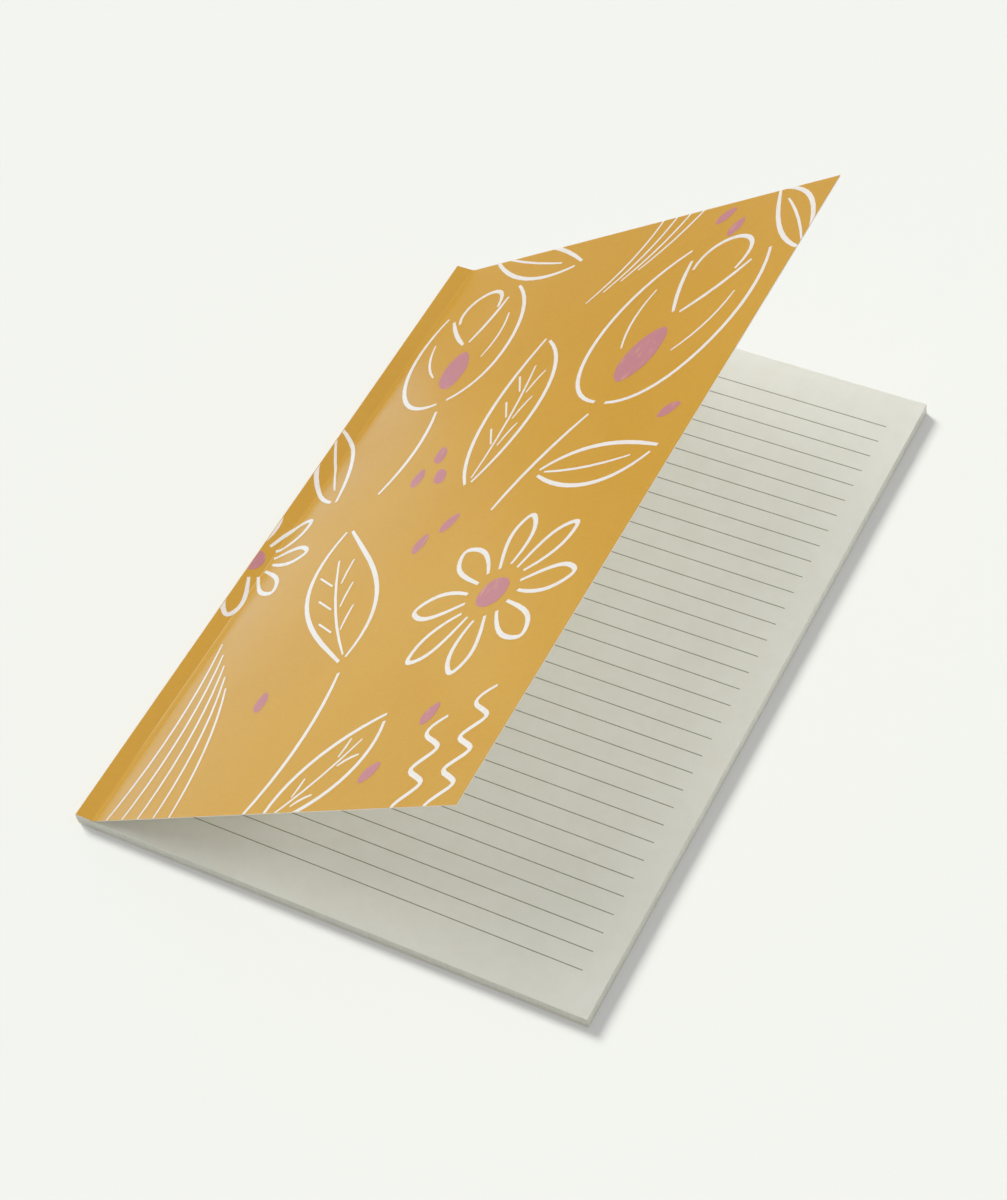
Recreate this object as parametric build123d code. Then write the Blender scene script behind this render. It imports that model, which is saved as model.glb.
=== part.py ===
from build123d import *
import os
from math import atan2, cos, degrees, hypot, pi, radians, sin

os.makedirs("parts", exist_ok=True)

# A soft-cover A4 notebook with lined pages, glued at the spine and trimmed flush on three sides.
# It lies on its back cover, with its front cover standing part of the way open.
# Millimetres. The origin is the middle of the underside. +X runs from the spine to the fore edge,
# +Y from the foot to the head, and +Z up from the table.

# Trimmed book
book_width = 210.0
book_height = 297.0

# Paper
sheet_count = 48
sheet_thickness = 0.1

# Cover: one printed card, scored and folded round the block
card_thickness = 0.3
ground_film = 0.05
hinge_width = 8.0
fold_radius = 0.6
open_angle = 33.4

# The score, where a cover panel meets the folded spine
score_gap = 0.04
axis_lift = 0.1

# Glue that holds the block in the fold
glue_web = 0.25
glue_side = 0.15
glue_width = 7.0

# Ruling, the same on the first page and on the last
line_pitch = 8.0
line_width = 0.4
line_film = 0.05
margin_side = 10.0
margin_head = 16.5
margin_foot = 16.0

# Drawing on the front cover
bold_line = 2.0
fine_line = 1.2
line_taper = 0.35
drawing_film = 0.05
print_sag = 0.06
seed_length = 10.0

# Places that follow from the sizes
cover_thickness = card_thickness + ground_film
block_bottom = cover_thickness + glue_side
block_top = block_bottom + sheet_count * sheet_thickness
book_thickness = block_top + block_bottom
spine_x = -book_width / 2
fore_x = book_width / 2
foot_y = -book_height / 2
head_y = book_height / 2
score_x = spine_x + hinge_width
block_x = spine_x + cover_thickness + glue_web
hinge_end = score_x - score_gap / 2
panel_start = score_x + score_gap / 2
front_axis = Axis((score_x, 0, book_thickness + axis_lift), (0, -1, 0))


def layer(x_low, x_high, z_low, z_high):
    """A flat layer over the full height of the book."""
    size = (x_high - x_low, book_height, z_high - z_low)
    return Pos((x_low + x_high) / 2, 0, (z_low + z_high) / 2) * Box(*size)


def spine_section(x_low, x_high, z_low, z_high, radius):
    """A section across the book, with its two corners at the spine rounded."""
    section = Rectangle(x_high - x_low, z_high - z_low)
    if radius > 0:
        section = fillet(section.vertices().group_by(Axis.X)[0], radius)
    return Pos((x_low + x_high) / 2, (z_low + z_high) / 2) * section


def along_book(section):
    """Carries a section in X and Z from the head of the book to its foot."""
    at_head = Plane((0, head_y, 0), x_dir=(1, 0, 0), z_dir=(0, -1, 0))
    return extrude(at_head * section, amount=book_height)


def folded(depth, wall):
    """A layer of the cover folded round the spine, from score to score, depth under the outside."""
    inner = depth + wall
    outside = spine_section(spine_x + depth, hinge_end, depth, book_thickness - depth,
                            fold_radius - depth)
    inside = spine_section(spine_x + inner, fore_x, inner, book_thickness - inner,
                           fold_radius - inner)
    return along_book(outside - inside)


def glue():
    """Hot-melt film: a web on the back of the block and a narrow side on each of its faces."""
    side_end = spine_x + cover_thickness + glue_width
    film = spine_section(spine_x + cover_thickness, side_end, cover_thickness,
                         book_thickness - cover_thickness, fold_radius - cover_thickness)
    block = spine_section(block_x, fore_x, block_bottom, block_top, 0)
    return along_book(film - block)


def ruling(z_low):
    """The printed lines of one page."""
    count = int((book_height - margin_head - margin_foot) / line_pitch) + 1
    length = book_width - 2 * margin_side
    line = Box(length, line_width, line_film, align=(Align.CENTER, Align.CENTER, Align.MIN))
    places = [Pos(0, head_y - margin_head - row * line_pitch, z_low) for row in range(count)]
    return Compound([place * line for place in places])


def spot(across, up):
    """A place on the front cover, in hundredths of its width and height from the spine and the foot."""
    return (across * book_width / 100, up * book_height / 100)


def placed(points, at, turn=0.0, size=1.0):
    """Points of a motif, drawn upright from its own foot, set down on the cover."""
    c, s = size * cos(radians(turn)), size * sin(radians(turn))
    return [(at[0] + c * x - s * y, at[1] + s * x + c * y) for x, y in points]


def stations(path):
    """Shares of a curve's length, so near each other that straight steps stray by print_sag at most."""
    kept = [0.0]
    for share in (step / 200 for step in range(1, 200)):
        turn = radians((path % kept[-1]).get_angle(path % share))
        if turn * (path @ share - path @ kept[-1]).length / 8 > print_sag:
            kept.append(share)
    return kept + [1.0]


def stroke(points, width=bold_line):
    """One brush line through some points, thinner towards its ends, which are rounded off."""
    path = Spline(*points)
    left, right = [], []
    for share in stations(path):
        half = width / 2 * (1 - line_taper * abs(2 * share - 1) ** 3)
        across = (path % share).rotate(Axis.Z, 90) * half
        left.append(path @ share + across)
        right.append(path @ share - across)
    end_cap = [left[-1] + (path % 1) * half * 0.6, right[-1] + (path % 1) * half * 0.6]
    start_cap = [right[0] - (path % 0) * half * 0.6, left[0] - (path % 0) * half * 0.6]
    return make_face(Polyline(*left, *end_cap, *reversed(right), *start_cap, close=True))


def blot(points):
    """A filled shape with a smooth outline."""
    outline = Spline(*points, periodic=True)
    return make_face(Polyline(*[outline @ share for share in stations(outline)[:-1]], close=True))


def tulip(at, turn, height):
    """An open bloom: two outer petals, a folded rim with the middle petal behind it, two creases."""
    lines = [
        ([(-0.04, 0.0), (-0.30, 0.12), (-0.43, 0.42), (-0.40, 0.74), (-0.27, 0.98)], bold_line),
        ([(0.05, 0.0), (0.31, 0.13), (0.44, 0.45), (0.42, 0.76), (0.31, 1.0)], bold_line),
        ([(-0.20, 0.91), (-0.10, 0.70), (-0.02, 0.585)], bold_line),
        ([(0.24, 0.92), (0.13, 0.71), (0.035, 0.585)], bold_line),
        ([(-0.135, 0.86), (-0.03, 1.07), (0.05, 1.08), (0.175, 0.87)], bold_line),
        ([(-0.29, 0.72), (-0.27, 0.52), (-0.18, 0.34)], fine_line),
        ([(0.31, 0.72), (0.29, 0.50), (0.21, 0.34)], fine_line),
    ]
    size = height * book_width / 100
    return [stroke(placed(points, at, turn, size), width) for points, width in lines]


def tulip_heart(at, turn, height):
    """The coloured patch low on a tulip's front petal."""
    outline = [(0.0, 0.48), (-0.10, 0.33), (-0.06, 0.17), (0.01, 0.13), (0.08, 0.19), (0.11, 0.33)]
    return blot(placed(outline, at, turn, height * book_width / 100))


def leaf(base, tip, breadth, veins, bend):
    """A pointed leaf: two sides, a bent rib, and veins on both sides. Breadth and bend are in its length."""
    length = hypot(tip[0] - base[0], tip[1] - base[1])
    turn = degrees(atan2(tip[1] - base[1], tip[0] - base[0])) - 90
    apart = bold_line / length
    half = breadth / 2
    lean = 0.6 * bend
    rib = 0.75 * bend
    lines = [
        ([(-0.8 * apart, 0.5 * apart), (-0.62 * half, 0.25), (lean - 0.85 * half, 0.58), (0.0, 1.0)],
         bold_line),
        ([(0.9 * apart, 0.75 * apart), (0.85 * half, 0.27), (lean + 0.95 * half, 0.58),
          (1.6 * apart, 1.0 - apart)], bold_line),
        ([(0.15 * apart, 2 * apart), (rib, 0.45), (0.73 * rib, 0.8)], fine_line),
    ]
    for row in range(veins):
        y = 0.27 + 0.36 * row / max(veins - 1, 1)
        x = rib * sin(pi * min(1.0, 0.12 + 0.8 * y))
        reach = 0.46 * half
        lines.append(([(x - 1.1 * apart, y), (x - 0.62 * reach, y + 0.055), (x - reach, y + 0.12)],
                      fine_line))
        lines.append(([(x + 1.1 * apart, y - apart), (x + 0.62 * reach, y + 0.045),
                       (x + reach, y + 0.105)], fine_line))
    return [stroke(placed(points, base, turn, length), width) for points, width in lines]


def daisy(at, radius, petals, turn):
    """A round flower of looped petals, each one line."""
    half = 0.72 / petals * pi * 0.5
    loop = [(-0.07, 0.33), (-half, 0.64), (-0.62 * half, 0.95), (0.0, 1.02), (0.66 * half, 0.93),
            (half, 0.60), (0.065, 0.36)]
    size = radius * book_width / 100
    return [stroke(placed(loop, at, turn + 360 * petal / petals, size)) for petal in range(petals)]


def daisy_eye(at, radius):
    """The round middle of a daisy."""
    corners = [(0.19 * cos(2 * pi * side / 6), 0.19 * sin(2 * pi * side / 6)) for side in range(6)]
    return blot(placed(corners, at, size=radius * book_width / 100))


def blades(first, last, count):
    """Grass: fine lines that run from the shape of the first one to that of the last."""
    shares = [number / (count - 1) for number in range(count)]
    return [stroke([spot((1 - s) * a[0] + s * b[0], (1 - s) * a[1] + s * b[1])
                    for a, b in zip(first, last)], fine_line) for s in shares]


def tendril(at, turn, length, swing, turns):
    """A wavy line, with its swing to each side as a share of its length."""
    last = 2 * turns
    points = [(swing * (-1) ** step * (1.0 if 0 < step < last else 0.4), step / last)
              for step in range(last + 1)]
    return stroke(placed(points, at, turn, length * book_width / 100))


def seed(at, turn):
    """A small coloured drop."""
    outline = [(0.0, 0.0), (-0.275, 0.30), (-0.23, 0.75), (0.0, 1.0), (0.2475, 0.70), (0.275, 0.28)]
    return blot(placed(outline, at, turn, seed_length))


def on_panel(faces, left, right):
    """Trims a flat drawing, measured from the cover's corner at spine and foot, to one panel."""
    panel = Pos((left + right) / 2, book_height / 2) * Rectangle(right - left, book_height)
    trimmed = (Sketch() + faces) & panel
    return extrude(Pos(spine_x, foot_y, book_thickness) * trimmed, amount=drawing_film)


def opened(shape):
    """Turns a piece of the closed front cover about its score to where it stands."""
    return shape.rotate(front_axis, open_angle)


def save(shape, name):
    shape.label = name
    export_step(shape, f"parts/{name}.step")


# The drawing, laid out over the whole front cover, hinge strip included
white_lines = [
    *tulip(spot(72.4, 64.0), -14, 38.1),
    stroke([spot(71.4, 62.0), spot(66.2, 55.9), spot(61.4, 47.1)]),
    *leaf(spot(67.6, 52.5), spot(95.2, 53.9), 0.38, 0, 0.07),
    *tulip(spot(23.8, 70.7), 17, 30.5),
    stroke([spot(24.5, 68.7), spot(26.2, 61.3), spot(23.8, 53.9)]),
    *daisy(spot(76.2, 32.3), 17.6, 8, 8),
    *leaf(spot(49.5, 52.5), spot(44.3, 79.5), 0.37, 3, 0.06),
    *leaf(spot(46.7, 23.6), spot(21.9, 47.1), 0.39, 3, -0.06),
    stroke([spot(48.1, 21.5), spot(50.0, 10.1), spot(46.7, -1.3)]),
    *leaf(spot(53.3, -2.0), spot(68.6, 14.1), 0.45, 2, 0.07),
    *blades([(7.6, -1.3), (9.5, 13.5), (6.2, 29.0)],
            [(26.7, -1.3), (23.8, 10.1), (17.1, 20.9)], 5),
    *daisy(spot(0.0, 43.1), 12.9, 8, 10),
    tendril(spot(95.2, -1.7), 8, 26.7, 0.071, 4),
    tendril(spot(87.6, -1.7), 10, 21.0, 0.091, 3),
    *blades([(57.1, 101.3), (55.7, 94.3), (49.5, 85.5)],
            [(68.1, 101.3), (64.8, 96.0), (59.0, 90.2)], 4),
    *leaf(spot(101.4, 86.9), spot(86.2, 100.0), 0.32, 0, 0.06),
    *leaf(spot(9.5, 101.7), spot(39.0, 95.6), 0.31, 0, 0.05),
    *leaf(spot(-1.4, 67.3), spot(11.4, 53.9), 0.37, 0, 0.06),
]
seed_places = [
    (36.2, 57.9, 20), (41.0, 53.9, 38), (33.3, 53.9, 4), (50.5, 44.4, -30),
    (46.7, 41.1, -10), (31.4, 16.2, 10), (79.0, 12.1, -20), (72.4, 4.0, -35),
    (90.5, 59.3, -60), (79.0, 92.9, -20), (73.3, 96.3, -45),
]
mauve_shapes = [
    tulip_heart(spot(72.4, 64.0), -14, 38.1),
    tulip_heart(spot(23.8, 70.7), 17, 30.5),
    daisy_eye(spot(76.2, 32.3), 17.6),
    daisy_eye(spot(0.0, 43.1), 12.9),
    *[seed(spot(across, up), turn) for across, up, turn in seed_places],
]
hinge_strip = (fold_radius, hinge_width - score_gap / 2)
front_panel = (hinge_width + score_gap / 2, book_width)

# Block, with its ruling and its glue
save(layer(block_x, fore_x, block_bottom, block_top), "page_block")
save(ruling(block_top), "first_page_ruling")
save(ruling(block_bottom - line_film), "last_page_ruling")
save(glue(), "spine_glue")

# Cover at the spine, with its print
save(folded(ground_film, card_thickness), "cover_spine")
save(folded(0.0, ground_film), "spine_ground")
save(on_panel(white_lines, *hinge_strip), "hinge_drawing")
save(on_panel(mauve_shapes, *hinge_strip), "hinge_accents")

# Front cover, with its print
card_top = book_thickness - ground_film
save(opened(layer(panel_start, fore_x, card_top - card_thickness, card_top)), "front_cover")
save(opened(layer(panel_start, fore_x, card_top, book_thickness)), "front_ground")
save(opened(on_panel(white_lines, *front_panel)), "front_drawing")
save(opened(on_panel(mauve_shapes, *front_panel)), "front_accents")

# Back cover, closed under the block
save(layer(panel_start, fore_x, ground_film, cover_thickness), "back_cover")
save(layer(panel_start, fore_x, 0.0, ground_film), "back_ground")
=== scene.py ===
from math import cos, radians, sin, sqrt, tan

import bpy
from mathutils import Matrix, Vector


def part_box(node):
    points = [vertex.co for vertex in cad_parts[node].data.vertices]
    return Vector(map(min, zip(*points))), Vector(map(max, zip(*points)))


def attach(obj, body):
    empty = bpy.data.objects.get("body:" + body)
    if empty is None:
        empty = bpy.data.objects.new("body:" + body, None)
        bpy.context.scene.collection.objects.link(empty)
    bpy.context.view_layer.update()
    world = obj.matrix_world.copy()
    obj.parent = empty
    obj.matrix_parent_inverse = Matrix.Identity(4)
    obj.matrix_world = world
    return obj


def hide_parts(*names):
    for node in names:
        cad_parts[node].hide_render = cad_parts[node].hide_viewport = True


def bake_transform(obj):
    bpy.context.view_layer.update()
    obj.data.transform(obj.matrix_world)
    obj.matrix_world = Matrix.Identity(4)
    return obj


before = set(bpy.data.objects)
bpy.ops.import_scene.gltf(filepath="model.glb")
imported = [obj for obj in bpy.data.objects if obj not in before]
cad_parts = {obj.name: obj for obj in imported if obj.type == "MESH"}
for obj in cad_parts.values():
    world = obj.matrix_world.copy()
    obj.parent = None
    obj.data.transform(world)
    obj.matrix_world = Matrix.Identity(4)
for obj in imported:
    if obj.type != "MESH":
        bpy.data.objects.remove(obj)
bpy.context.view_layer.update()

mm = 0.001

# Sizes and places that the pieces made here share with the solids
book_height = 297.0 * mm
book_top = 5.8 * mm
card_thickness = 0.30 * mm
sheet_count = 48
score_x = -97.0 * mm
axis_lift = 0.1 * mm
opening = radians(33.4)

# The camera fitted to the photo
camera_place = (385.321 * mm, -525.949 * mm, 830.754 * mm)
camera_turn = (37.8603, 6.9850, 27.6972)
camera_lens = 83.545

# Colour of the backdrop and of the floor's own glow
background = (0.896, 0.913, 0.871)

# Height of the slow waves in the printed cover, and in the pages
cover_waves = 0.20 * mm
page_waves = 0.25 * mm

# How much the film over the print mirrors
film_shine = 0.20


# Editing

def clear_selection():
    """Nothing stays selected, in object mode."""
    if bpy.context.mode != "OBJECT":
        bpy.ops.object.mode_set(mode="OBJECT")
    bpy.ops.object.select_all(action="DESELECT")


def pick(piece):
    """Only this piece is selected and active."""
    clear_selection()
    piece.select_set(True)
    bpy.context.view_layer.objects.active = piece


def pick_edges(piece, chosen):
    """In edit mode, only the edges whose two ends both lie where asked are selected."""
    bpy.ops.object.mode_set(mode="OBJECT")
    mesh = piece.data
    for part in (mesh.vertices, mesh.edges, mesh.polygons):
        part.foreach_set("select", [False] * len(part))
    for edge in mesh.edges:
        if all(chosen(mesh.vertices[end].co) for end in edge.vertices):
            edge.select = True
    bpy.ops.object.mode_set(mode="EDIT")
    bpy.ops.mesh.select_mode(type="EDGE")


def apply_all(piece):
    """Every modifier of a piece is applied, in order."""
    pick(piece)
    for modifier in list(piece.modifiers):
        bpy.ops.object.modifier_apply(modifier=modifier.name)


def settle(piece):
    """The piece's place goes into its mesh."""
    pick(piece)
    bpy.ops.object.transform_apply(location=True, rotation=True, scale=True)


# Materials

class Finish:
    """A material whose colour, roughness and bump come from nodes."""

    def __init__(self, name, colour, roughness):
        self.material = bpy.data.materials.new(name)
        self.material.use_nodes = True
        self.tree = self.material.node_tree
        self.shader = self.tree.nodes["Principled BSDF"]
        self.shader.inputs["Base Color"].default_value = (*colour, 1)
        self.shader.inputs["Roughness"].default_value = roughness
        self.colour = None
        self.height = None
        self.place = self.add("ShaderNodeTexCoord").outputs["Object"]

    def add(self, kind, **settings):
        node = self.tree.nodes.new(kind)
        for name, value in settings.items():
            setattr(node, name, value)
        return node

    def link(self, source, target):
        self.tree.links.new(source, target)

    def stretched(self, scale, turn=(0, 0, 0)):
        """The place on the piece, turned and stretched, for a pattern that runs one way."""
        mapping = self.add("ShaderNodeMapping")
        mapping.inputs["Rotation"].default_value = turn
        mapping.inputs["Scale"].default_value = scale
        self.link(self.place, mapping.inputs["Vector"])
        return mapping.outputs["Vector"]

    def noise(self, scale, detail=3.0, roughness=0.5, place=None):
        node = self.add("ShaderNodeTexNoise")
        node.inputs["Scale"].default_value = scale
        node.inputs["Detail"].default_value = detail
        node.inputs["Roughness"].default_value = roughness
        self.link(place or self.place, node.inputs["Vector"])
        return node.outputs["Fac"]

    def spread(self, value, low, high, to_low=0.0, to_high=1.0):
        """A value's range from low to high, stretched over another one, and cut off beyond it."""
        node = self.add("ShaderNodeMapRange")
        ends = {"From Min": low, "From Max": high, "To Min": to_low, "To Max": to_high}
        for name, number in ends.items():
            node.inputs[name].default_value = number
        self.link(value, node.inputs["Value"])
        return node.outputs["Result"]

    def sums(self, operation, first, second):
        """One step of arithmetic on two values, each a number or a node's output."""
        node = self.add("ShaderNodeMath", operation=operation)
        for socket, value in zip(node.inputs, (first, second)):
            if isinstance(value, (int, float)):
                socket.default_value = value
            else:
                self.link(value, socket)
        return node.outputs["Value"]

    def tint(self, share, colour):
        """Mixes a colour over what the material has so far, by a share that varies over the piece."""
        node = self.add("ShaderNodeMix", data_type="RGBA")
        self.link(share, node.inputs["Factor"])
        # The Mix node has several sockets named A, B and Result, and these three are for colours
        under, over, mixed = node.inputs[6], node.inputs[7], node.outputs[2]
        under.default_value = self.shader.inputs["Base Color"].default_value
        if self.colour is not None:
            self.link(self.colour, under)
        over.default_value = (*colour, 1)
        self.colour = mixed
        self.link(self.colour, self.shader.inputs["Base Color"])

    def gloss(self, value, low, high):
        """Roughness from low to high, where a noise's value goes from 0.3 to 0.7."""
        self.link(self.spread(value, 0.3, 0.7, low, high), self.shader.inputs["Roughness"])

    def raise_by(self, value, distance):
        """A bump of that height, over the ones so far."""
        bump = self.add("ShaderNodeBump")
        bump.inputs["Strength"].default_value = 1.0
        bump.inputs["Distance"].default_value = distance
        self.link(value, bump.inputs["Height"])
        if self.height is not None:
            self.link(self.height, bump.inputs["Normal"])
        self.height = bump.outputs["Normal"]
        self.link(self.height, self.shader.inputs["Normal"])


def axis_part(finish, name):
    """One coordinate of the place on a piece."""
    node = finish.add("ShaderNodeSeparateXYZ")
    finish.link(finish.place, node.inputs["Vector"])
    return node.outputs[name]


def mustard(name):
    """Mustard ink under satin film: soft mottling, a faint horizontal grain, fine dust-like specks."""
    f = Finish(name, (0.640, 0.342, 0.024), 0.34)
    f.tint(f.spread(f.noise(9, 2), 0.35, 0.65), (0.615, 0.320, 0.020))
    f.tint(f.spread(f.noise(900, 2, 0.6, f.stretched((0.25, 1.6, 1))), 0.35, 0.75, 0.0, 0.30),
           (0.690, 0.392, 0.048))
    f.tint(f.spread(f.noise(5200, 1), 0.60, 0.80, 0.0, 0.35), (0.535, 0.262, 0.018))
    f.gloss(f.noise(35, 3), 0.28, 0.40)
    f.raise_by(f.noise(14, 1), cover_waves)
    f.raise_by(f.noise(1500, 2, 0.6, f.stretched((0.35, 1, 1))), 0.0022 * mm)
    f.shader.inputs["Specular IOR Level"].default_value = film_shine
    return f


def creased(name):
    """The same print on the fold, with a pale hairline painted along it in the lower half, a painted
    highlight of the fold's ridge.
    """
    f = mustard(name)
    highlight_x = score_x - 0.70 * mm
    off = f.sums("ABSOLUTE", f.sums("SUBTRACT", axis_part(f, "X"), highlight_x), 0.0)
    highlight_line = f.spread(off, 0.08 * mm, 0.26 * mm, 0.55, 0.0)
    foot_end = f.spread(axis_part(f, "Y"), -125 * mm, -100 * mm)
    head_end = f.spread(axis_part(f, "Y"), -30 * mm, 10 * mm, 1.0, 0.0)
    share = f.sums("MULTIPLY", highlight_line, f.sums("MULTIPLY", foot_end, head_end))
    # The pale hairline is a painted highlight of the fold's ridge, from near the foot to about the
    # middle.
    f.tint(share, (0.860, 0.660, 0.370))
    return f


def ink(name, colour, streak, streak_share):
    """Brush-drawn ink under the same film, with dry streaks and a soft edge to its tone."""
    f = Finish(name, colour, 0.36)
    f.tint(f.spread(f.noise(480, 3, 0.6, f.stretched((1.0, 0.30, 1), turn=(0, 0, radians(38)))),
                    0.56, 0.70, 0.0, streak_share), streak)
    f.tint(f.spread(f.noise(2400, 2), 0.62, 0.72, 0.0, 0.5 * streak_share), streak)
    f.gloss(f.noise(60, 2), 0.30, 0.42)
    f.raise_by(f.noise(14, 1), cover_waves)
    f.raise_by(f.noise(1500, 2), 0.0020 * mm)
    f.shader.inputs["Specular IOR Level"].default_value = film_shine
    return f


def card_stock(name):
    """Uncoated inside and cut edge of the cover card: cream white, fibrous and matt."""
    f = Finish(name, (0.900, 0.850, 0.750), 0.78)
    f.tint(f.spread(f.noise(16, 3), 0.35, 0.65), (0.880, 0.825, 0.715))
    f.tint(f.spread(f.noise(1800, 3, 0.6, f.stretched((1, 0.4, 1), turn=(0, 0, radians(20)))),
                    0.55, 0.80, 0.0, 0.35), (0.800, 0.740, 0.630))
    f.gloss(f.noise(300, 2), 0.70, 0.86)
    f.raise_by(f.noise(1300, 3, 0.65), 0.008 * mm)
    return f


def paper(name):
    """Uncoated writing paper: greyish ivory with cloudy formation and fine fibres."""
    f = Finish(name, (0.790, 0.795, 0.738), 0.82)
    f.tint(f.spread(f.noise(120, 4, 0.6), 0.40, 0.62), (0.772, 0.775, 0.706))
    f.tint(f.spread(f.noise(2300, 3, 0.6, f.stretched((0.35, 1, 1))), 0.52, 0.80, 0.0, 0.30),
           (0.705, 0.705, 0.630))
    f.gloss(f.noise(260, 2), 0.76, 0.90)
    f.raise_by(f.noise(6, 1), page_waves)
    f.raise_by(f.noise(1700, 3, 0.65), 0.006 * mm)
    return f


def shaded_cut_paper(name):
    """The guillotined edges of the sheets: rougher, with the knife's marks down them, and greyer and
    darker than the faces of the pages, which paints shade on the block's sides.
    """
    f = Finish(name, (0.660, 0.665, 0.588), 0.88)
    f.tint(f.spread(f.noise(700, 2, 0.6, f.stretched((1, 1, 0.05))), 0.40, 0.65, 0.0, 0.5),
           (0.575, 0.577, 0.492))
    f.gloss(f.noise(400, 2), 0.82, 0.94)
    f.raise_by(f.noise(2500, 2, 0.6, f.stretched((1, 1, 0.1))), 0.01 * mm)
    return f


def ruled_ink(name):
    """Grey offset ink, a little broken by the paper's fibres."""
    f = Finish(name, (0.300, 0.300, 0.235), 0.80)
    f.tint(f.spread(f.noise(1600, 3, 0.6), 0.50, 0.68, 0.0, 0.55), (0.520, 0.520, 0.440))
    f.gloss(f.noise(260, 2), 0.74, 0.90)
    f.raise_by(f.noise(1700, 2), 0.004 * mm)
    return f


def hot_melt(name):
    """Cloudy hot-melt glue, with a faint ripple along the spine."""
    f = Finish(name, (0.640, 0.560, 0.390), 0.38)
    f.tint(f.spread(f.noise(90, 3, 0.6, f.stretched((1, 0.3, 1))), 0.38, 0.64), (0.720, 0.660, 0.520))
    f.gloss(f.noise(140, 2), 0.30, 0.52)
    f.raise_by(f.noise(160, 2, 0.5, f.stretched((1, 0.4, 1))), 0.06 * mm)
    f.shader.inputs["Subsurface Weight"].default_value = 0.2
    f.shader.inputs["Subsurface Radius"].default_value = (1.0 * mm, 0.7 * mm, 0.4 * mm)
    return f


print_mustard = mustard("mustard_print")
crease_mustard = creased("creased_print")
white_ink = ink("white_brush_ink", (0.860, 0.820, 0.785), (0.780, 0.640, 0.420), 0.35)
mauve_ink = ink("mauve_brush_ink", (0.540, 0.210, 0.245), (0.660, 0.360, 0.240), 0.60)
card = card_stock("cover_card")
sheet_paper = paper("writing_paper")
shaded_edge_paper = shaded_cut_paper("shaded_cut_paper_edge")
line_ink = ruled_ink("grey_ruling_ink")
glue_film = hot_melt("spine_glue_film")


def finish_node(node, finish):
    """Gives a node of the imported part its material, and leaves its mesh alone."""
    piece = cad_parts[node]
    piece.data.materials.clear()
    piece.data.materials.append(finish.material)


for node, finish in [
    ("first_page_ruling", line_ink), ("last_page_ruling", line_ink), ("spine_glue", glue_film),
    ("cover_spine", card), ("spine_ground", print_mustard),
    ("hinge_drawing", white_ink), ("hinge_accents", mauve_ink),
    ("front_cover", card), ("front_ground", print_mustard),
    ("front_drawing", white_ink), ("front_accents", mauve_ink),
    ("back_cover", card), ("back_ground", print_mustard),
]:
    finish_node(node, finish)


# Sheets of the block

def page_sheets():
    """The block as its sheets, each a thin card of its own, with a hair's breadth of air between."""
    low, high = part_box("page_block")
    step = (high.z - low.z) / sheet_count
    air = 0.004 * mm
    worn_edge = 0.012 * mm
    thickness = step - air
    middle = ((low.x + high.x) / 2, (low.y + high.y) / 2, high.z - thickness / 2)
    clear_selection()
    bpy.ops.mesh.primitive_cube_add(size=1, location=middle)
    sheet = bpy.context.active_object
    sheet.name = sheet.data.name = "page_sheets"
    sheet.scale = (high.x - low.x, high.y - low.y, thickness)
    settle(sheet)
    bpy.ops.object.mode_set(mode="EDIT")
    bpy.ops.mesh.select_mode(type="EDGE")
    bpy.ops.mesh.select_all(action="SELECT")
    bpy.ops.mesh.bevel(offset=worn_edge, segments=1, affect="EDGES")
    bpy.ops.object.mode_set(mode="OBJECT")
    stack = sheet.modifiers.new("stack", "ARRAY")
    stack.count = sheet_count
    stack.use_relative_offset = False
    stack.use_constant_offset = True
    stack.constant_offset_displace = (0, 0, -step)
    apply_all(sheet)
    sheet.data.materials.append(sheet_paper.material)
    sheet.data.materials.append(shaded_edge_paper.material)
    # The upright faces get the darker edge paper, painted shade on the sides of the block.
    for face in sheet.data.polygons:
        upright = abs(face.normal.z) < 0.5
        if upright:
            face.material_index = 1
    return sheet


rulings = [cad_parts[name] for name in ("first_page_ruling", "last_page_ruling")]
sheets = page_sheets()
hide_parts("page_block")
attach(sheets, "book_block")


# Creases at the two scores

# How far a crease lies under the panels' outer faces, and how far its ink lies over the drawing
sunk = 0.01 * mm
proud = 0.004 * mm

# Steps of a crease round its bend, and of the ink up to the middle of the bend
bend_steps = 8
ink_steps = 4


class Bend:
    """The outer face of the cover where it bends at a score, in a section across the book.

    It leaves the spine's panel at start and reaches the cover's panel at end, a reach to each side
    of the corner where the two panels' outer faces would meet.
    """

    def __init__(self, angle, reach, pivot_z, side):
        self.angle, self.reach = angle, reach
        self.radius = reach / tan(angle / 2) if angle else 0.0
        along = Vector((cos(angle), 0, sin(angle)))
        corner = Vector((score_x + axis_lift * tan(angle / 2), 0, pivot_z - side * axis_lift))
        self.start = corner - reach * Vector((1, 0, 0))
        self.end = corner + reach * along
        self.along = along


def strip(name, bend, lowered):
    """A strip over a bend: a short wing on each side, and the bend between them in steps."""
    wing = 0.30 * mm
    near = 0.01 * mm
    start = bend.start - Vector((0, 0, lowered))
    clear_selection()
    bpy.ops.mesh.primitive_plane_add(size=1, location=start - Vector((wing / 2, 0, 0)))
    piece = bpy.context.active_object
    piece.name = piece.data.name = name
    piece.scale = (wing, book_height, 1)
    settle(piece)
    pick_edges(piece, lambda co: co.x > start.x - near)
    if bend.angle:
        # Spin turns against the right-hand rule
        bpy.ops.mesh.spin(steps=bend_steps, angle=bend.angle,
                          center=start + Vector((0, 0, bend.radius)), axis=(0, 1, 0))
    else:
        for step in range(bend_steps):
            move = {"value": (2 * bend.reach / bend_steps, 0, 0)}
            bpy.ops.mesh.extrude_region_move(TRANSFORM_OT_translate=move)
    bpy.ops.mesh.extrude_region_move(TRANSFORM_OT_translate={"value": tuple(wing * bend.along)})
    bpy.ops.mesh.select_all(action="SELECT")
    bpy.ops.mesh.remove_doubles(threshold=0.001 * mm)
    bpy.ops.object.mode_set(mode="OBJECT")
    return piece


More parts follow.
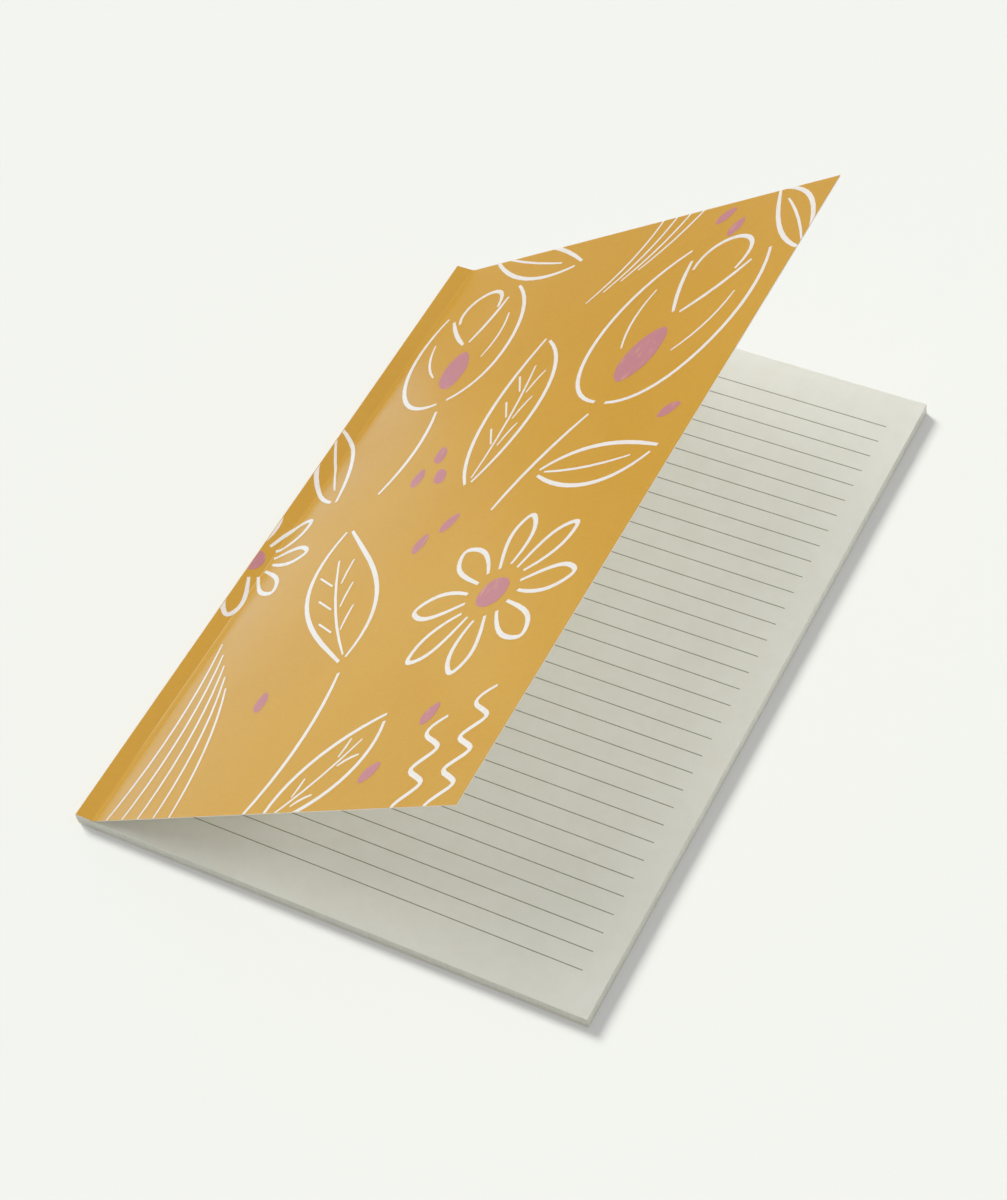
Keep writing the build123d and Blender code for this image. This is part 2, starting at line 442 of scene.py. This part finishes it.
def face_outwards(piece, side):
    """All faces of an open strip look up, where side is 1, or down."""
    pick(piece)
    bpy.ops.object.mode_set(mode="EDIT")
    bpy.ops.mesh.select_all(action="SELECT")
    bpy.ops.mesh.normals_make_consistent(inside=False)
    bpy.ops.object.mode_set(mode="OBJECT")
    if side * sum(face.normal.z for face in piece.data.polygons) < 0:
        piece.data.flip_normals()


def make_crease(name, bend, side):
    """The printed card at a score, whose outer side faces up where side is 1, and down where it is -1."""
    piece = strip(name, bend, side * sunk)
    face_outwards(piece, side)
    piece.data.materials.append(crease_mustard.material)
    piece.data.materials.append(card.material)
    wall = piece.modifiers.new("wall", "SOLIDIFY")
    wall.thickness = card_thickness
    wall.offset = -1
    wall.material_offset = 1
    wall.material_offset_rim = 1
    apply_all(piece)
    bpy.ops.object.shade_smooth_by_angle(angle=radians(40))
    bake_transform(piece)


def ink_on_bend(name, node, bend, edge, inwards, normal):
    """The part of a drawing that runs over a bend, lifted off its flat panel on to the bend.

    edge is where the bend leaves that panel, and inwards is the way from there to the corner.
    """
    piece = bpy.data.objects.new(name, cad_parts[node].data.copy())
    bpy.context.scene.collection.objects.link(piece)
    pick(piece)
    bpy.ops.object.mode_set(mode="EDIT")
    bpy.ops.mesh.select_all(action="SELECT")
    bpy.ops.mesh.remove_doubles(threshold=0.0005 * mm)
    for step in range(ink_steps):
        # The first cut takes away what lies off the bend, and the others only divide the ink
        cut = edge + inwards * (bend.reach * step / ink_steps)
        bpy.ops.mesh.select_all(action="SELECT")
        bpy.ops.mesh.bisect(plane_co=cut, plane_no=inwards, clear_inner=step == 0, use_fill=step == 0)
    bpy.ops.object.mode_set(mode="OBJECT")
    for point in piece.data.vertices:
        inside = (point.co - edge).dot(inwards)
        point.co += normal * (bend.radius - sqrt(bend.radius ** 2 - inside ** 2) + proud)
    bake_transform(piece)


front_bend = Bend(angle=opening, reach=1.2 * mm, pivot_z=book_top + axis_lift, side=1)
make_crease("front_score_crease", front_bend, side=1)
ink_on_bend("hinge_ink_on_crease", "hinge_drawing", front_bend, edge=front_bend.start,
            inwards=Vector((1, 0, 0)), normal=Vector((0, 0, 1)))
ink_on_bend("front_ink_on_crease", "front_drawing", front_bend, edge=front_bend.end,
            inwards=-front_bend.along, normal=Vector((-sin(opening), 0, cos(opening))))

back_bend = Bend(angle=0.0, reach=0.36 * mm, pivot_z=-axis_lift, side=-1)
make_crease("back_score_crease", back_bend, side=-1)


# Studio

def seen_directly(tree):
    """1 for what the camera sees, straight, mirrored or through something, and 0 for other light."""
    rays = tree.nodes.new("ShaderNodeLightPath")
    total = rays.outputs["Is Camera Ray"]
    for other in ("Is Glossy Ray", "Is Transmission Ray"):
        most = tree.nodes.new("ShaderNodeMath")
        most.operation = "MAXIMUM"
        tree.links.new(total, most.inputs[0])
        tree.links.new(rays.outputs[other], most.inputs[1])
        total = most.outputs["Value"]
    return total


def studio_floor():
    """A wide pale floor, part of whose white is its own where it is seen."""
    clear_selection()
    bpy.ops.mesh.primitive_plane_add(size=30, location=(0, 0, -0.02 * mm))
    floor = bpy.context.active_object
    floor.name = floor.data.name = "studio_floor"
    settle(floor)
    f = Finish("studio_paper", (0.540, 0.535, 0.550), 0.9)
    f.shader.inputs["Specular IOR Level"].default_value = 0.0
    glow = f.add("ShaderNodeEmission")
    glow.inputs["Color"].default_value = (*background, 1)
    share = f.sums("MULTIPLY", seen_directly(f.tree), 0.30)
    mix = f.add("ShaderNodeMixShader")
    f.link(share, mix.inputs["Fac"])
    f.link(f.shader.outputs["BSDF"], mix.inputs[1])
    f.link(glow.outputs["Emission"], mix.inputs[2])
    f.link(mix.outputs["Shader"], f.tree.nodes["Material Output"].inputs["Surface"])
    floor.data.materials.append(f.material)
    return floor


def lamp(name, strength, width, turn, colour=(1, 1, 1)):
    """A far soft light. It shines down, turned about X and Y by the angles given in degrees."""
    light = bpy.data.lights.new(name, "SUN")
    light.energy = strength
    light.angle = radians(width)
    light.color = colour
    stand = bpy.data.objects.new(name, light)
    stand.rotation_euler = (radians(turn[0]), radians(turn[1]), 0)
    bpy.context.scene.collection.objects.link(stand)
    return stand


def panel_lamp(name, watts, size, spread, place, aim):
    """A long soft panel at a place, turned towards another one, with a grid that narrows its light."""
    light = bpy.data.lights.new(name, "AREA")
    light.energy = watts
    light.shape = "RECTANGLE"
    light.size, light.size_y = size
    light.spread = radians(spread)
    stand = bpy.data.objects.new(name, light)
    stand.location = place
    stand.rotation_euler = (Vector(aim) - Vector(place)).to_track_quat("-Z", "Y").to_euler()
    bpy.context.scene.collection.objects.link(stand)
    return stand


def studio_world(ambient, lean):
    """Soft light from all round, which leans towards the head of the book."""
    world = bpy.data.worlds.new("studio")
    bpy.context.scene.world = world
    world.use_nodes = True
    tree = world.node_tree
    soft = tree.nodes["Background"]
    soft.inputs["Color"].default_value = (1.0, 0.995, 0.98, 1)
    parts = tree.nodes.new("ShaderNodeSeparateXYZ")
    tree.links.new(tree.nodes.new("ShaderNodeTexCoord").outputs["Generated"], parts.inputs["Vector"])
    from_foot = tree.nodes.new("ShaderNodeMapRange")
    from_foot.inputs["From Min"].default_value = -1.0
    from_foot.inputs["To Min"].default_value = ambient * (1 - lean)
    from_foot.inputs["To Max"].default_value = ambient * (1 + lean)
    tree.links.new(parts.outputs["Y"], from_foot.inputs["Value"])
    tree.links.new(from_foot.outputs["Result"], soft.inputs["Strength"])
    seen = tree.nodes.new("ShaderNodeBackground")
    seen.inputs["Color"].default_value = (*background, 1)
    mix = tree.nodes.new("ShaderNodeMixShader")
    tree.links.new(seen_directly(tree), mix.inputs["Fac"])
    tree.links.new(soft.outputs["Background"], mix.inputs[1])
    tree.links.new(seen.outputs["Background"], mix.inputs[2])
    tree.links.new(mix.outputs["Shader"], tree.nodes["World Output"].inputs["Surface"])


def camera():
    """The photo's point of view."""
    data = bpy.data.cameras.new("camera")
    data.sensor_fit = "AUTO"
    data.sensor_width = 36.0
    data.lens = camera_lens
    data.clip_start, data.clip_end = 0.05, 60
    stand = bpy.data.objects.new("camera", data)
    stand.location = camera_place
    stand.rotation_euler = [radians(angle) for angle in camera_turn]
    bpy.context.scene.collection.objects.link(stand)
    bpy.context.scene.camera = stand


def reflector(name, size, place, turn, strength, soft_edge, colour=(1, 1, 1)):
    """A card that shows only in reflections, as a softbox does, or a dark flag where its strength is 0.

    Its edges fade out over soft_edge.
    """
    clear_selection()
    bpy.ops.mesh.primitive_plane_add(size=1, location=place, rotation=turn)
    board = bpy.context.active_object
    board.name = board.data.name = name
    board.scale = (*size, 1)
    material = bpy.data.materials.new(name)
    material.use_nodes = True
    tree = material.node_tree
    tree.nodes.clear()
    place_on_board = tree.nodes.new("ShaderNodeTexCoord").outputs["Object"]
    parts = tree.nodes.new("ShaderNodeSeparateXYZ")
    tree.links.new(place_on_board, parts.inputs["Vector"])
    shares = []
    for axis, length in zip("XY", size):
        off = tree.nodes.new("ShaderNodeMath")
        off.operation = "ABSOLUTE"
        tree.links.new(parts.outputs[axis], off.inputs[0])
        fade = tree.nodes.new("ShaderNodeMapRange")
        fade.interpolation_type = "SMOOTHSTEP"
        fade.inputs["From Min"].default_value = 0.5
        fade.inputs["From Max"].default_value = 0.5 - soft_edge / length
        tree.links.new(off.outputs["Value"], fade.inputs["Value"])
        shares.append(fade.outputs["Result"])
    both = tree.nodes.new("ShaderNodeMath")
    both.operation = "MULTIPLY"
    tree.links.new(shares[0], both.inputs[0])
    tree.links.new(shares[1], both.inputs[1])
    glow = tree.nodes.new("ShaderNodeEmission")
    glow.inputs["Color"].default_value = (*colour, 1)
    glow.inputs["Strength"].default_value = strength
    through = tree.nodes.new("ShaderNodeBsdfTransparent")
    mix = tree.nodes.new("ShaderNodeMixShader")
    tree.links.new(both.outputs["Value"], mix.inputs["Fac"])
    tree.links.new(through.outputs["BSDF"], mix.inputs[1])
    tree.links.new(glow.outputs["Emission"], mix.inputs[2])
    end = tree.nodes.new("ShaderNodeOutputMaterial")
    tree.links.new(mix.outputs["Shader"], end.inputs["Surface"])
    board.data.materials.append(material)
    board.visible_camera = False
    board.visible_diffuse = False
    board.visible_transmission = False
    board.visible_shadow = False


def only(name, *pieces):
    """A collection that says which pieces a lamp reaches, or which stand in its way."""
    group = bpy.data.collections.new(name)
    for piece in pieces:
        group.objects.link(piece)
    return group


floor = studio_floor()
studio_world(ambient=0.52, lean=0.25)
camera()

# The strip lies beside the spine and lights the hinge, and the two others stand on the spine's side
lying = (0, 0, 0)
standing = (radians(90), 0, radians(90))
reflector("low_strip", size=(0.070, 0.335), place=(-0.140, -0.033, 0.05 * mm), turn=lying,
          strength=5.6, soft_edge=0.03, colour=(0.32, 0.64, 0.96))
reflector("far_card", size=(0.30, 0.14), place=(-0.405, 0.085, 0.090), turn=standing,
          strength=2.5, soft_edge=0.06, colour=(0.60, 0.92, 0.80))
reflector("flag", size=(0.30, 0.16), place=(-0.400, 0.360, 0.090), turn=standing,
          strength=0.0, soft_edge=0.06)

# The key light leaves the floor out, so that the floor stays even. The page has its own soft light from
# the fore edge, and the floor has its own lamp, which draws the block's soft shadow on it.
key = lamp("overhead_softbox", strength=1.40, width=70, turn=(-9, -36))
beyond_floor = only("beyond_the_key", floor)
beyond_floor.collection_objects[0].light_linking.link_state = "EXCLUDE"
key.light_linking.receiver_collection = beyond_floor
fill = panel_lamp("page_softbox", watts=0.105, size=(0.45, 0.15), spread=40,
                  place=(0.42, 0.22, 0.44), aim=(-0.02, 0.06, 0))
fill.light_linking.receiver_collection = only("lit_by_page_softbox", sheets, *rulings)
side = lamp("floor_lamp", strength=5.95, width=22, turn=(-20, -48), colour=(0.97, 1.0, 0.90))
side.light_linking.receiver_collection = only("lit_by_floor_lamp", floor)
side.light_linking.blocker_collection = only("before_floor_lamp", sheets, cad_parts["back_cover"])

bpy.context.scene.view_settings.view_transform = "Standard"
